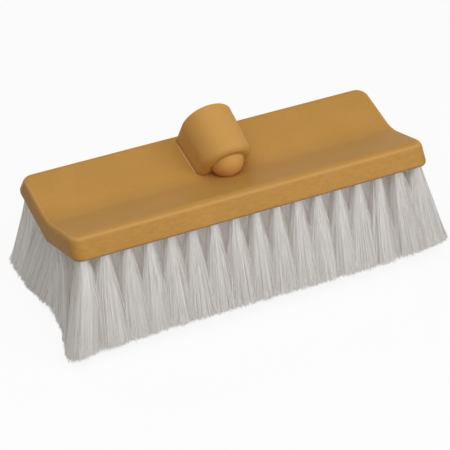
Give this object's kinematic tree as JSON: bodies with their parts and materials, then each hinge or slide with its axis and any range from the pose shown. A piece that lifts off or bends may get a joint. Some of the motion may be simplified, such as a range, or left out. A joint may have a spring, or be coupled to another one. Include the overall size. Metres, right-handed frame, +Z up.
{
  "type": "two-level wash brush head",
  "caption": "Moulded brush block with two tilted wings, rows of pale flagged bristle tufts and a slanted socket for a screw-in handle.",
  "frame": {"origin": "on the floor under the middle of the block, centre of the bounding box's bottom", "axes": "+X along the block, +Z up, +Y towards the mouth of the handle socket"},
  "size_m": [0.2728, 0.128, 0.114],
  "materials": {
    "block": "satin moulded ochre plastic with a fine grain",
    "barrel": "satin moulded plastic, a little darker",
    "filament": "fine translucent off-white filaments with flagged tips",
    "wire": "flat anchor wire"
  },
  "bodies": {
    "root": {"brush_block": "block", "socket_barrel": "barrel", "front_tuft_row_1": "filament", "front_tuft_row_2": "filament", "front_tuft_row_3": "filament", "rear_tuft_row_1": "filament", "rear_tuft_row_2": "filament", "rear_tuft_row_3": "filament", "front_anchor_01": "wire", "front_anchor_02": "wire", "front_anchor_03": "wire", "front_anchor_04": "wire", "front_anchor_05": "wire", "front_anchor_06": "wire", "front_anchor_07": "wire", "front_anchor_08": "wire", "front_anchor_09": "wire", "front_anchor_10": "wire", "front_anchor_11": "wire", "front_anchor_12": "wire", "front_anchor_13": "wire", "front_anchor_14": "wire", "front_anchor_15": "wire", "front_anchor_16": "wire", "front_anchor_17": "wire", "rear_anchor_01": "wire", "rear_anchor_02": "wire", "rear_anchor_03": "wire", "rear_anchor_04": "wire", "rear_anchor_05": "wire", "rear_anchor_06": "wire", "rear_anchor_07": "wire", "rear_anchor_08": "wire", "rear_anchor_09": "wire", "rear_anchor_10": "wire", "rear_anchor_11": "wire", "rear_anchor_12": "wire", "rear_anchor_13": "wire", "rear_anchor_14": "wire", "rear_anchor_15": "wire", "rear_anchor_16": "wire", "rear_anchor_17": "wire"}
  },
  "joints": []
}
